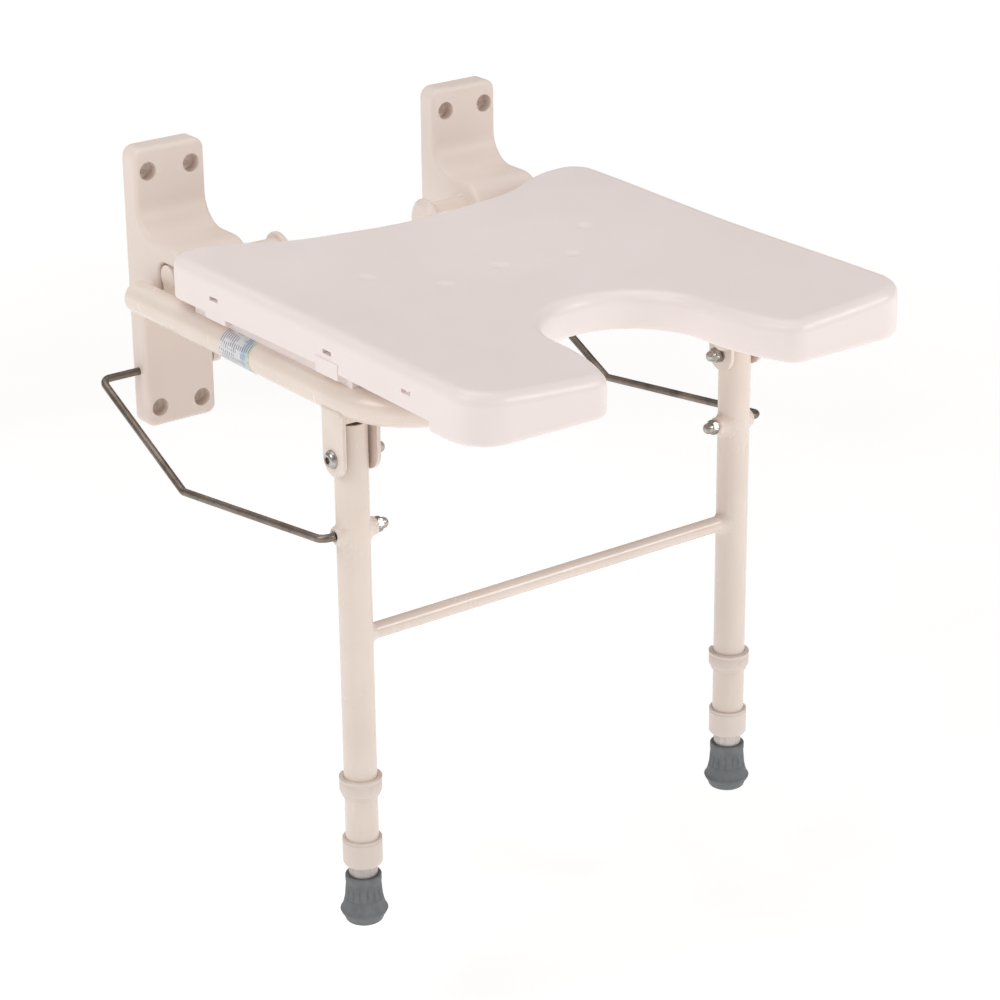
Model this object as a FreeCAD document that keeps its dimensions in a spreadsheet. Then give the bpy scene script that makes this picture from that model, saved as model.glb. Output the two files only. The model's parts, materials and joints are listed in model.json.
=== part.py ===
"""Wall-mounted fold-up shower seat: two wall brackets, a hinged tube frame with a horseshoe
seat, and a two-leg support frame that two wire links keep upright while the seat folds.

Millimetres.  The origin is the centre of the outer wall-bolt pattern, on the wall.
+X is to the right for somebody who faces the wall, +Y goes into the wall and +Z is up.
Every paired piece is modelled on the right (+X) and mirrored to the left.
"""
import FreeCAD
import Part
import math
import os

import Sketcher

DOC = FreeCAD.newDocument("fold_up_shower_seat")
SHEET = DOC.addObject("Spreadsheet::Sheet", "Sizes")
NODES = []

SIZES = {
    # wall brackets
    "plate_x": 142, "plate_width": 64, "plate_thickness": 18,
    "plate_top": 117, "plate_bottom": -114,
    "plate_top_round": 9, "plate_bottom_round": 8, "rim_round": 4,
    "bolt_x": 142.5, "bolt_offset": 19.5, "bolt_height": 98, "bolt_hole_radius": 4.25,
    "counterbore_radius": 7.4, "counterbore_depth": 9,
    "arm_radius": 24, "arm_root_round": 24, "arm_heel_round": 8,
    "pocket_x": 163, "pocket_rear": -47, "pocket_rise": 10, "pocket_corner": 9, "pocket_lip": 3,
    "bush_radius": 14.5,
    # seat hinge
    "pivot_y": -59.5, "pivot_z": 24.5, "pivot_radius": 12.5, "running_gap": 0.05, "body_gap": 0.4,
    "stub_inner_x": 74, "cap_radius": 17, "cap_rim": 4, "cap_height": 8, "cap_crown": 12.3,
    "cap_crown_round": 3.2, "cap_rim_round": 1.6,
    "stub_wall": 4.5, "lug_radius": 9.5, "neck_width": 13, "neck_low": 0, "tongue_high": 12,
    # seat frame
    "rail_x": 187, "rail_z": 6, "tube_radius": 12.7, "tube_wall": 1.5,
    "rail_rear": -37, "rail_front": -385, "rail_bend": 60, "rail_end_x": 112,
    "cross_y": -256, "cross_radius": 9.5,
    "plug_cap": 2.4, "plug_depth": 14, "plug_gap": 0.4, "plug_crown": 9, "plug_shoulder": 0.7,
    "plug_round": 1.9,
    "label_rear": -176, "label_front": -217, "label_thickness": 0.25,
    # legs
    "leg_x": 181, "leg_y": -322, "leg_pivot_z": -39, "leg_top": -12.6, "leg_bottom": -369,
    "ear_inside": 13.2, "ear_thickness": 3, "ear_rear": 12, "ear_front": 14.5, "web_low": -8.6,
    "ear_top": 2,
    "bolt_radius": 4, "bolt_head_radius": 7, "bolt_head_height": 4.4, "bolt_crown": 4.4,
    "bolt_shoulder": 1.3, "bolt_dome_round": 2.6, "socket_radius": 2.5, "socket_floor": 1.5,
    "nut_flats": 10.5, "nut_height": 5, "nut_dome_radius": 4.4, "nut_dome_height": 11,
    "nut_dome_round": 3.7,
    "washer_radius": 6.5, "washer_thickness": 1.2,
    "crossbar_z": -183, "crossbar_radius": 6.35,
    "sleeve_z": -99, "sleeve_radius": 7.2, "sleeve_inner": 19, "sleeve_outer": 16.5,
    "sleeve_round": 2.1,
    # fold links
    "wire_radius": 3.05, "link_x": 208, "link_pin_y": -7.5, "link_pin_z": -67.5,
    "link_corner_y": -127, "link_corner_z": -124.5, "link_corner_bend": 7, "link_end_bend": 7,
    "link_inner_x": 101, "link_cap_radius": 6.5, "link_cap_length": 9, "link_cap_gap": 2,
    "link_cap_dome": 2, "link_cap_crown": 4.5,
    # height adjustment and feet
    "clip_radius": 16.5, "clip_low": -313, "clip_high": -297, "clip_mouth": 13,
    "clip_lip_radius": 14.4, "clip_lip": 2.6, "clip_foot": 3.2, "clip_foot_radius": 15.5, "clip_belly": 5.4,
    "clip_rim": 15, "peg_face": 16,
    "peg_radius": 3, "peg_hole_radius": 3.2, "hole_pitch": 25, "hole_count": 5,
    "collar_radius": 15.2, "collar_low": -372, "collar_high": -349, "collar_foot_round": 3.2,
    "collar_top_round": 0.8,
    "foot_radius": 11, "foot_top": -192, "foot_low": -412, "floor_z": -420,
    "ferrule_top": -381, "ferrule_rim": 13.3, "ferrule_body": 14.8, "ferrule_flange": 18.3,
    "ferrule_sole": 14.5, "ferrule_step_z": -401, "ferrule_flange_z": -411, "ferrule_edge": 0.8,
    "ferrule_edge_rise": 3, "ferrule_sole_round": 3,
    "flute_radius": 1.6, "flute_count": 16, "flute_offset": 0.7, "flute_margin": 6,
    # seat
    "seat_half": 200, "seat_top": 60, "seat_low": 20, "seat_skirt": 29,
    "seat_front": -500, "seat_lobe_y": -99,
    "seat_rear_round": 23, "seat_front_round": 31, "seat_waist": 2.5, "seat_waist_y": -290,
    "cut_radius": 65, "cut_centre_y": -419, "flare_radius": 170, "flare_angle": 25,
    "top_round": 9, "low_round": 4, "seat_wall": 4, "seat_ceiling": 4.5,
    "dish_half": 200, "dish_depth": 11, "dish_rear": -128, "dish_full": -300,
    "dimple_radius": 24, "dimple_depth": 1.1, "rib_thickness": 3, "rib_rise": 4, "rib_skin": 2,
    "ledge_inner": 179, "ledge_outer": 190, "ledge_rear": -128, "ledge_front": -340,
    "ledge_top": 36, "saddle_width": 28, "saddle_rear": -171, "saddle_front": -320,
    "saddle_low": 24, "saddle_face": 198.5, "rebate_front": -448,
    "slot_width": 11, "slot_height": 3.2, "slot_z": 41.5, "slot_front": -420, "slot_depth": 10,
    "boss_radius": 7,
    "screw_radius": 2.4, "screw_hole_radius": 2.8, "screw_head_radius": 4.6,
    "screw_head_height": 3, "screw_length": 12, "rear_screw_x": 62, "front_screw_x": 134,
}


class Size:
    """A number together with the sheet expression that it comes from."""

    def __init__(self, value, text):
        self.value = float(value)
        self.text = text

    def __add__(self, other):
        return Size(self.value + number(other), f"({self.text} + {written(other)})")

    def __sub__(self, other):
        return Size(self.value - number(other), f"({self.text} - {written(other)})")

    def __mul__(self, other):
        return Size(self.value * number(other), f"({self.text} * {written(other)})")

    def __truediv__(self, other):
        return Size(self.value / number(other), f"({self.text} / {written(other)})")

    def __neg__(self):
        return self * -1


def number(size):
    return size.value if isinstance(size, Size) else float(size)


def written(size):
    return size.text if isinstance(size, Size) else f"({size})"


class Sheet:
    """Every alias of the spreadsheet as an attribute."""

    def __init__(self, sizes):
        for row, (alias, value) in enumerate(sizes.items(), start=1):
            SHEET.set(f"A{row}", alias)
            SHEET.set(f"B{row}", str(value))
            SHEET.setAlias(f"B{row}", alias)
            setattr(self, alias, Size(value, f"Sizes.{alias}"))


S = Sheet(SIZES)
CLOSE = 0.01  # two places nearer than this count as the same
DOC.recompute()
X_AXIS = FreeCAD.Vector(1, 0, 0)
Y_AXIS = FreeCAD.Vector(0, 1, 0)
Z_AXIS = FreeCAD.Vector(0, 0, 1)
ALONG = {
    "+X": FreeCAD.Rotation(Y_AXIS, 90),
    "-X": FreeCAD.Rotation(Y_AXIS, -90),
    "+Y": FreeCAD.Rotation(X_AXIS, -90),
    "-Y": FreeCAD.Rotation(X_AXIS, 90),
    "+Z": FreeCAD.Rotation(),
    "-Z": FreeCAD.Rotation(X_AXIS, 180),
}


# ---------------------------------------------------------------- document helpers
def bind(feature, name, size):
    feature.setExpression(name, written(size))


def put(feature, corner, along="+Z"):
    """Turn a feature's own Z to lie along an axis and bind the place of its base point."""
    feature.Placement = FreeCAD.Placement(FreeCAD.Vector(*[number(v) for v in corner]), ALONG[along])
    for letter, size in zip("xyz", corner):
        bind(feature, f"Placement.Base.{letter}", size)


def solid(kind, name, corner, along="+Z", owner=DOC, **sizes):
    """A primitive with bound sizes, in the document or in a PartDesign body."""
    feature = owner.addObject(kind, name) if owner is DOC else owner.newObject(kind, name)
    for key, size in sizes.items():
        bind(feature, key, size)
    put(feature, corner, along)
    return feature


def rod(name, corner, along, radius, length, owner=DOC, cut=False):
    """A round bar: a Part::Cylinder, or a cylinder that a body gains or loses."""
    kinds = {True: "PartDesign::SubtractiveCylinder", False: "PartDesign::AdditiveCylinder"}
    kind = "Part::Cylinder" if owner is DOC else kinds[cut]
    return solid(kind, name, corner, along, owner, Radius=radius, Height=length)


def block(name, corner, length, width, height, owner=DOC, cut=False):
    kinds = {True: "PartDesign::SubtractiveBox", False: "PartDesign::AdditiveBox"}
    kind = "Part::Box" if owner is DOC else kinds[cut]
    return solid(kind, name, corner, "+Z", owner, Length=length, Width=width, Height=height)


def joined(name, first, others):
    fuse = DOC.addObject("Part::MultiFuse", name)
    fuse.Shapes = [first] + others
    return fuse


def without(name, base, tools):
    """The base with each tool cut out of it in turn."""
    for index, tool in enumerate(tools):
        cut = DOC.addObject("Part::Cut", f"{name}_{index}" if tool is not tools[-1] else name)
        cut.Base = base
        cut.Tool = tool
        base = cut
    return base


def from_shape(name, shape):
    feature = DOC.addObject("Part::Feature", name)
    feature.Shape = shape
    feature.Placement = FreeCAD.Placement()
    return feature


def node(feature, label):
    feature.Label = label
    NODES.append(feature)
    return feature


def pair(feature, label):
    """Keep a right-hand piece and add its mirror image on the left."""
    node(feature, f"right_{label}")
    mirror = DOC.addObject("Part::Mirroring", f"mirrored_{label}")
    mirror.Source = feature
    mirror.Normal = X_AXIS
    mirror.Base = FreeCAD.Vector()
    node(mirror, f"left_{label}")


# ---------------------------------------------------------------- sketch helpers
def sketch_on(body, role, name):
    plane = next(p for p in body.Origin.OriginFeatures if p.Role == role)
    sketch = body.newObject("Sketcher::SketchObject", name)
    sketch.AttachmentSupport = [(plane, "")]
    sketch.MapMode = "FlatFace"
    return sketch


def hold(sketch, kind, size, *points):
    """A dimension of a sketch, bound to the sheet."""
    index = sketch.addConstraint(Sketcher.Constraint(kind, *points, number(size)))
    sketch.setExpression(f"Constraints[{index}]", written(size))


def hold_point(sketch, index, corner):
    for kind, size, axis in (("DistanceX", corner[0], -2), ("DistanceY", corner[1], -1)):
        if number(size) == 0:
            sketch.addConstraint(Sketcher.Constraint("PointOnObject", index, 1, axis))
        else:
            hold(sketch, kind, size, -1, 1, index, 1)


def polygon(body, role, name, corners):
    """A closed outline of straight lines with every corner held."""
    sketch = sketch_on(body, role, name)
    points = [FreeCAD.Vector(number(u), number(v), 0) for u, v in corners]
    last = len(points) - 1
    for index, point in enumerate(points):
        sketch.addGeometry(Part.LineSegment(point, points[0 if index == last else index + 1]), False)
    for index in range(len(points)):
        following = 0 if index == last else index + 1
        sketch.addConstraint(Sketcher.Constraint("Coincident", index, 2, following, 1))
    for index, corner in enumerate(corners):
        hold_point(sketch, index, corner)
    return sketch


def pad(body, sketch, name, length, midplane=False, reverse=False):
    feature = body.newObject("PartDesign::Pad", name)
    feature.Profile = sketch
    bind(feature, "Length", length)
    feature.SideType = "Symmetric" if midplane else "One side"
    feature.Reversed = reverse
    return feature


def turned(name, corners, along="+Z", base=(0, 0, 0)):
    """A body revolved about its own Z from an outline of (radius, height) corners."""
    body = DOC.addObject("PartDesign::Body", name)
    sketch = polygon(body, "XZ_Plane", f"{name}_outline", corners)
    feature = body.newObject("PartDesign::Revolution", f"{name}_turned")
    feature.Profile = sketch
    feature.ReferenceAxis = (sketch, ["V_Axis"])
    feature.Angle = 360
    put(body, base, along)
    DOC.recompute()
    return body


def edges_where(shape, test):
    return [f"Edge{i}" for i, edge in enumerate(shape.Edges, start=1) if test(edge)]


def fillet(body, name, size, test):
    """Round the edges of the body's tip for which the test holds."""
    DOC.recompute()
    base = body.Tip
    feature = body.newObject("PartDesign::Fillet", name)
    feature.Base = (base, edges_where(base.Shape, test))
    bind(feature, "Radius", size)
    DOC.recompute()
    return feature


def ring_at(radius, height):
    """Test for a full circle of a turned piece."""
    def test(edge):
        curve = edge.Curve
        return (isinstance(curve, Part.Circle) and abs(curve.Radius - number(radius)) < 1e-4
                and abs(curve.Center.z - number(height)) < 1e-4)
    return test


# ---------------------------------------------------------------- bent tubes
def rounded_path(points, bends):
    """A wire of straight runs joined by tangent arcs of the given radii."""
    edges = []
    start = points[0]
    for before, corner, after, bend in zip(points, points[1:], points[2:], bends):
        back = (before - corner).normalize()
        ahead = (after - corner).normalize()
        half = back.getAngle(ahead) / 2
        reach = bend / math.tan(half)
        middle = corner + (back + ahead).normalize() * (bend / math.sin(half) - bend)
        leave = corner + back * reach
        enter = corner + ahead * reach
        edges.append(Part.makeLine(start, leave))
        edges.append(Part.Arc(leave, middle, enter).toShape())
        start = enter
    edges.append(Part.makeLine(start, points[-1]))
    return Part.Wire(edges)


def swept(path, radius):
    edge = path.Edges[0]
    direction = edge.tangentAt(edge.FirstParameter)
    circle = Part.Wire(Part.makeCircle(number(radius), edge.Vertexes[0].Point, direction))
    return path.makePipeShell([circle], True, False)


def rail_path():
    """Centre line of the right seat rail, from its rear end round to its front end."""
    x, z = number(S.rail_x), number(S.rail_z)
    points = [
        FreeCAD.Vector(x, number(S.rail_rear), z),
        FreeCAD.Vector(x, number(S.rail_front), z),
        FreeCAD.Vector(number(S.rail_end_x), number(S.rail_front), z),
    ]
    return rounded_path(points, [number(S.rail_bend)])


def rail_outline(name):
    """The full outside of the right rail, for cutting pieces that are welded to it."""
    return rod(name, (S.rail_x, S.rail_rear, S.rail_z), "-Y", S.tube_radius, S.rail_rear - S.rail_front)


# ---------------------------------------------------------------- wall brackets
def wall_bracket():
    body = DOC.addObject("PartDesign::Body", "wall_bracket")
    half = S.plate_width / 2
    plate = polygon(body, "XZ_Plane", "plate_outline",
                    [(-half, S.plate_bottom), (half, S.plate_bottom), (half, S.plate_top),
                     (-half, S.plate_top)])
    pad(body, plate, "plate", S.plate_thickness)
    arm_low = S.pivot_z - S.arm_radius
    arm_high = S.pivot_z + S.arm_radius
    arm = polygon(body, "YZ_Plane", "arm_outline",
                  [(-S.plate_thickness / 2, arm_low), (S.pivot_y, arm_low),
                   (S.pivot_y, arm_high), (-S.plate_thickness / 2, arm_high)])
    pad(body, arm, "arm", S.plate_width, midplane=True)
    rod("arm_nose", (-half, S.pivot_y, S.pivot_z), "+X", S.arm_radius, S.plate_width, body)
    bind(body, "Placement.Base.x", S.plate_x)
    round_bracket(body)
    drill_bracket(body, half)
    return body


def round_bracket(body):
    """The moulded rounds: arm roots, plate corners, then every front edge."""
    face_y = -number(S.plate_thickness)
    arm_high = number(S.pivot_z + S.arm_radius)
    arm_low = number(S.pivot_z - S.arm_radius)
    half = number(S.plate_width / 2)
    root, heel = number(S.arm_root_round), number(S.arm_heel_round)

    def level(height):
        def test(edge):
            middle = edge.CenterOfMass
            return abs(middle.y - face_y) < CLOSE and abs(middle.z - height) < CLOSE and edge.Length > half
        return test

    def upright(height):
        def test(edge):
            middle = edge.CenterOfMass
            return (abs(middle.z - number(height)) < CLOSE and abs(abs(middle.x) - half) < CLOSE
                    and abs(edge.Length + face_y) < CLOSE)
        return test

    def front(edge):
        """Outline edges that face the room, on the plate and along both sides of the arm."""
        middle = edge.CenterOfMass
        box = edge.BoundBox
        wall_edge = box.YMax > -CLOSE
        near_arm = arm_low - 2 * heel < middle.z < arm_high + 2 * root and middle.y > face_y - 2 * root
        flat_join = box.XLength > half and near_arm
        across_arm = box.XLength > 1 and middle.y < face_y - CLOSE
        return not wall_edge and not flat_join and not across_arm

    fillet(body, "arm_root", S.arm_root_round, level(arm_high))
    fillet(body, "arm_heel", S.arm_heel_round, level(arm_low))
    fillet(body, "top_corners", S.plate_top_round, upright(S.plate_top))
    fillet(body, "bottom_corners", S.plate_bottom_round, upright(S.plate_bottom))
    fillet(body, "front_rim", S.rim_round, front)
    open_hinge_pocket(body)


def open_hinge_pocket(body):
    """Clear the lower front of the arm's outer side for the lug that carries the rail."""
    floor = S.pocket_x - S.plate_x
    depth = S.plate_width / 2 - S.pocket_x + S.plate_x
    low = S.pivot_z - S.arm_radius - 1
    top = S.pivot_z + S.pocket_rise
    front = S.pivot_y - S.arm_radius - 1
    block("hinge_pocket", (floor, front, low), depth + 1, S.pocket_rear - front, top - low, body, cut=True)
    fillet(body, "pocket_corner", S.pocket_corner, at_place(
        y=S.pocket_rear, z=top, length=depth))
    rim = number(S.plate_width / 2)
    wall_y, wall_z = number(S.pocket_rear), number(top)

    def lip(edge):
        """Edges of the pocket's mouth behind and above the hinge."""
        middle = edge.CenterOfMass
        on_face = abs(middle.x - rim) < CLOSE
        behind = abs(edge.BoundBox.YMax - wall_y) < CLOSE and middle.z < wall_z + CLOSE
        above = abs(edge.BoundBox.ZMax - wall_z) < CLOSE and middle.y < wall_y + CLOSE
        return on_face and (behind or above)

    fillet(body, "pocket_lip", S.pocket_lip, lip)


def at_place(y, z, length):
    """Test for an edge along X with the given length and place."""
    def test(edge):
        middle = edge.CenterOfMass
        return (abs(middle.y - number(y)) < CLOSE and abs(middle.z - number(z)) < CLOSE
                and abs(edge.Length - number(length)) < CLOSE)
    return test


def drill_bracket(body, half):
    """Bolt holes, the bore for the hinge bush, and the hole of the fold link."""
    middle = S.bolt_x - S.plate_x
    for side, offset in (("outer", middle + S.bolt_offset), ("inner", middle - S.bolt_offset)):
        for level, height in (("upper", S.bolt_height), ("lower", -S.bolt_height)):
            rod(f"{side}_{level}_hole", (offset, 1, height), "-Y", S.bolt_hole_radius,
                S.plate_thickness + 2, body, cut=True)
            rod(f"{side}_{level}_counterbore", (offset, S.counterbore_depth - S.plate_thickness, height),
                "-Y", S.counterbore_radius, S.counterbore_depth + 1, body, cut=True)
    rod("hinge_bore", (-half - 1, S.pivot_y, S.pivot_z), "+X", S.bush_radius,
        S.pocket_x - S.plate_x + half + 1, body, cut=True)
    rod("link_hole", (-half - 1, S.link_pin_y, S.link_pin_z), "+X", S.wire_radius + S.running_gap,
        S.plate_width + 2, body, cut=True)


def pivot_bush():
    """Nylon sleeve between the bracket's bore and the hinge stub."""
    length = S.pocket_x - S.plate_x + S.plate_width / 2
    bore = S.pivot_radius + S.running_gap
    start = (S.plate_x - S.plate_width / 2, S.pivot_y, S.pivot_z)
    return turned("pivot_bush", [(bore, 0), (S.bush_radius, 0), (S.bush_radius, length), (bore, length)],
                  "+X", start)


# ---------------------------------------------------------------- seat frame
def pivot_stub():
    """Round hinge tube that turns in the bush and carries the domed cap."""
    length = S.pocket_x - S.body_gap - S.stub_inner_x
    radius = S.pivot_radius
    bore = S.pivot_radius - S.stub_wall
    corners = [(bore, 0), (radius, 0), (radius, length), (bore, length)]
    return turned("pivot_stub", corners, "+X", (S.stub_inner_x, S.pivot_y, S.pivot_z))


def pivot_cap():
    """Domed flange on the inner end of the hinge stub, with a plug inside the tube."""
    plug = S.pivot_radius - S.stub_wall
    corners = [(0, -S.plug_depth), (plug, -S.plug_depth), (plug, 0), (S.cap_radius, 0),
               (S.cap_radius, S.cap_rim), (S.cap_crown, S.cap_height), (0, S.cap_height)]
    body = turned("pivot_cap", corners, "-X", (S.stub_inner_x, S.pivot_y, S.pivot_z))
    fillet(body, "cap_crown", S.cap_crown_round, ring_round(S.cap_crown))
    fillet(body, "cap_rim_round", S.cap_rim_round, ring_round(S.cap_radius))
    return body


def ring_round(radius):
    """Test for any full circle of the given radius."""
    def test(edge):
        curve = edge.Curve
        return isinstance(curve, Part.Circle) and abs(curve.Radius - number(radius)) < 1e-4
    return test


def hinge_lug():
    """Strap inside the bracket's pocket, from the hinge stub down to the inner side of the rail."""
    weld, inner = S.pocket_x - S.body_gap, S.pocket_x + S.body_gap
    outer = S.plate_x + S.plate_width / 2 - S.body_gap
    disc = rod("lug_disc", (weld, S.pivot_y, S.pivot_z), "+X", S.lug_radius, outer - weld)
    rear = S.pivot_y - S.neck_width / 2
    neck = block("lug_neck", (inner, rear, S.neck_low), outer - inner, S.neck_width, S.pivot_z - S.neck_low)
    tongue = block("lug_tongue", (inner, rear, S.neck_low), S.rail_x - inner, S.neck_width,
                   S.tongue_high - S.neck_low)
    whole = joined("lug_blank", disc, [neck, tongue])
    return without("hinge_lug", whole, [rail_outline("lug_rail_outline")])


def seat_rail():
    """Bent tube: side run under the seat's edge and a short front run under the prong."""
    path = rail_path()
    outer = swept(path, S.tube_radius)
    inner = swept(path, S.tube_radius - S.tube_wall)
    screw = Part.makeCylinder(number(S.screw_hole_radius), 4 * number(S.tube_radius),
                              FreeCAD.Vector(number(S.front_screw_x), number(S.rail_front),
                                             number(S.rail_z) - 2 * number(S.tube_radius)))
    return from_shape("seat_rail", outer.cut(inner).cut(screw))


def end_plug(name, base, along):
    """Domed plastic plug pushed into a rail end; its own Z points out of the tube."""
    inner = S.tube_radius - S.tube_wall
    corners = [(0, -S.plug_depth), (inner, -S.plug_depth), (inner, 0), (S.tube_radius - S.plug_gap, 0),
               (S.tube_radius - S.plug_gap, S.plug_shoulder), (S.plug_crown, S.plug_cap), (0, S.plug_cap)]
    body = turned(name, corners, along, base)
    fillet(body, f"{name}_crown", S.plug_round, ring_round(S.plug_crown))
    return body


def cross_tube():
    """Tube that ties the two rails together under the seat."""
    outer = rod("cross_outer", (-S.rail_x, S.cross_y, S.rail_z), "+X", S.cross_radius, S.rail_x * 2)
    tools = [rod("cross_inner", (-S.rail_x, S.cross_y, S.rail_z), "+X", S.cross_radius - S.tube_wall,
                 S.rail_x * 2)]
    tools.append(rail_outline("cross_right_rail"))
    tools.append(rod("cross_left_rail", (-S.rail_x, S.rail_rear, S.rail_z), "-Y", S.tube_radius,
                     S.rail_rear - S.rail_front))
    for side in (-1, 1):
        low = S.rail_z - S.cross_radius * 2
        tools.append(rod(f"cross_screw_hole_{side + 1}", (S.rear_screw_x * side, S.cross_y, low),
                         "+Z", S.screw_hole_radius, S.cross_radius * 4))
    return without("cross_tube", outer, tools)


def leg_clevis():
    """U-bracket under the rail: a web shaped to the tube and two round-ended ears."""
    inner = S.leg_x - S.ear_inside - S.ear_thickness
    span = (S.ear_inside + S.ear_thickness) * 2
    width = S.ear_rear + S.ear_front
    blank = block("clevis_blank", (inner, S.leg_y - S.ear_front, S.leg_pivot_z), span, width,
                  S.ear_top - S.leg_pivot_z)
    ends = rod("clevis_ends", (inner, S.leg_y + (S.ear_rear - S.ear_front) / 2, S.leg_pivot_z), "+X",
               width / 2, span)
    whole = joined("clevis_whole", blank, [ends])
    room = block("clevis_room", (S.leg_x - S.ear_inside, S.leg_y - width, S.leg_pivot_z - width),
                 S.ear_inside * 2, width * 2, S.web_low - S.leg_pivot_z + width)
    hole = rod("clevis_hole", (inner - 1, S.leg_y, S.leg_pivot_z), "+X", S.bolt_radius + S.running_gap,
               span + 2)
    rail = from_shape("clevis_rail_outline", swept(rail_path(), S.tube_radius))
    return without("leg_clevis", whole, [room, hole, rail])


def pivot_bolt():
    """Button-head socket bolt through the clevis and the leg; its head is on the outside."""
    reach = (S.ear_inside + S.ear_thickness) * 2 + S.washer_thickness + S.nut_height
    head = S.bolt_head_height
    corners = [(0, 0), (S.bolt_radius, 0), (S.bolt_radius, reach), (S.bolt_head_radius, reach),
               (S.bolt_head_radius, reach + S.bolt_shoulder), (S.bolt_crown, reach + head),
               (S.socket_radius, reach + head), (S.socket_radius, reach + S.socket_floor),
               (0, reach + S.socket_floor)]
    base = S.leg_x - S.ear_inside - S.ear_thickness - S.washer_thickness - S.nut_height
    body = turned("leg_pivot_bolt", corners, "+X", (base, S.leg_y, S.leg_pivot_z))
    fillet(body, "bolt_head_dome", S.bolt_dome_round, ring_round(S.bolt_crown))
    return body


def washer(name, base, along):
    bore = S.bolt_radius + S.running_gap
    corners = [(bore, 0), (S.washer_radius, 0), (S.washer_radius, S.washer_thickness),
               (bore, S.washer_thickness)]
    return turned(name, corners, along, base)


def acorn_nut(name, base):
    """Hexagon nut with a domed cap; its own Z points to the seat's middle (-X)."""
    body = DOC.addObject("PartDesign::Body", name)
    corner_radius = S.nut_flats / 2 / math.cos(math.radians(30))
    hexagon = body.newObject("PartDesign::AdditivePrism", f"{name}_hexagon")
    hexagon.Polygon = 6
    bind(hexagon, "Circumradius", corner_radius)
    bind(hexagon, "Height", S.nut_height)
    rod(f"{name}_dome", (0, 0, 0), "+Z", S.nut_dome_radius, S.nut_dome_height, body)
    fillet(body, f"{name}_dome_round", S.nut_dome_round, ring_at(S.nut_dome_radius, S.nut_dome_height))
    rod(f"{name}_thread", (0, 0, -1), "+Z", S.bolt_radius, S.nut_height + 1, body, cut=True)
    put(body, base, "-X")
    return body


def label_sleeve():
    """Plain paper label wrapped round the left rail."""
    length = S.label_rear - S.label_front
    base = (-S.rail_x, S.label_rear, S.rail_z)
    outer = rod("label_outer", base, "-Y", S.tube_radius + S.label_thickness, length)
    return without("rail_label", outer, [rod("label_inner", base, "-Y", S.tube_radius, length)])


# ---------------------------------------------------------------- seat
REAR_EDGE = [(136, -110), (106, -126), (58, -136), (0, -141)]
DIMPLES = [(-102, -233), (102, -233), (-59, -272), (59, -272), (0, -261)]
RIBS_ACROSS = [-335, -200]
RIBS_ALONG = [-118, -62, 0, 62, 118]
DISH_ROWS, DISH_COLUMNS = 28, 12
OVERCUT = 10  # how far a cutting solid reaches past the piece that it cuts


def seat_corner_points():
    """Named places on the right half of the seat's outline."""
    angle = math.radians(number(S.flare_angle))
    flare_x = number(S.cut_radius) + number(S.flare_radius) * (1 - math.cos(angle))
    flare_y = number(S.cut_centre_y) - number(S.flare_radius) * math.sin(angle)
    prong_round = (flare_y - number(S.seat_front)) / (1 - math.sin(angle))
    return angle, flare_x, flare_y, prong_round


def arc_at(centre, radius, start, end):
    """Arc in the XY plane between two angles in degrees."""
    def at(degrees):
        turn = math.radians(degrees)
        return FreeCAD.Vector(centre[0] + radius * math.cos(turn), centre[1] + radius * math.sin(turn), 0)
    return Part.Arc(at(start), at((start + end) / 2), at(end)).toShape()


def seat_half_outline(inset):
    """Edges of the right half, from the middle of the cut-out round to the middle of the rear.

    An inset moves every edge into the seat by that much, for the inside of its wall.
    """
    angle, flare_x, flare_y, prong_round = seat_corner_points()
    half, front = number(S.seat_half), number(S.seat_front)
    front_round, rear_round = number(S.seat_front_round), number(S.seat_rear_round)
    flare_centre = (number(S.cut_radius) + number(S.flare_radius), number(S.cut_centre_y))
    prong_centre = (flare_x + prong_round * math.cos(angle), front + prong_round)
    front_centre = (half - front_round, front + front_round)
    rear_centre = (half - rear_round, number(S.seat_lobe_y) - rear_round)
    turn = number(S.flare_angle)
    edge_y = front + inset
    edge_x = half - inset
    edges = [
        arc_at((0, number(S.cut_centre_y)), number(S.cut_radius) + inset, 90, 0),
        arc_at(flare_centre, number(S.flare_radius) - inset, 180, 180 + turn),
        arc_at(prong_centre, prong_round - inset, 180 + turn, 270),
        Part.makeLine(FreeCAD.Vector(prong_centre[0], edge_y, 0),
                      FreeCAD.Vector(front_centre[0], edge_y, 0)),
        arc_at(front_centre, front_round - inset, -90, 0),
    ]
    side = Part.BSplineCurve()
    side.interpolate(Points=[FreeCAD.Vector(edge_x, front_centre[1], 0),
                             FreeCAD.Vector(edge_x - number(S.seat_waist), number(S.seat_waist_y), 0),
                             FreeCAD.Vector(edge_x, rear_centre[1], 0)],
                     InitialTangent=Y_AXIS, FinalTangent=Y_AXIS)
    lobe = FreeCAD.Vector(rear_centre[0], number(S.seat_lobe_y) - inset, 0)
    rear = Part.BSplineCurve()
    rear.interpolate(Points=[lobe] + [FreeCAD.Vector(x, y - inset, 0) for x, y in REAR_EDGE],
                     InitialTangent=-X_AXIS, FinalTangent=-X_AXIS)
    return edges + [side.toShape(), arc_at(rear_centre, rear_round - inset, 0, 90), rear.toShape()]


def seat_wire(inset=0.0):
    edges = seat_half_outline(inset)
    mirrored = [edge.mirror(FreeCAD.Vector(), X_AXIS) for edge in edges]
    return Part.Wire(Part.__sortEdges__(edges + mirrored))


def prism(wire, low, high):
    face = Part.Face(wire)
    face.translate(FreeCAD.Vector(0, 0, low))
    return face.extrude(FreeCAD.Vector(0, 0, high - low))


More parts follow.
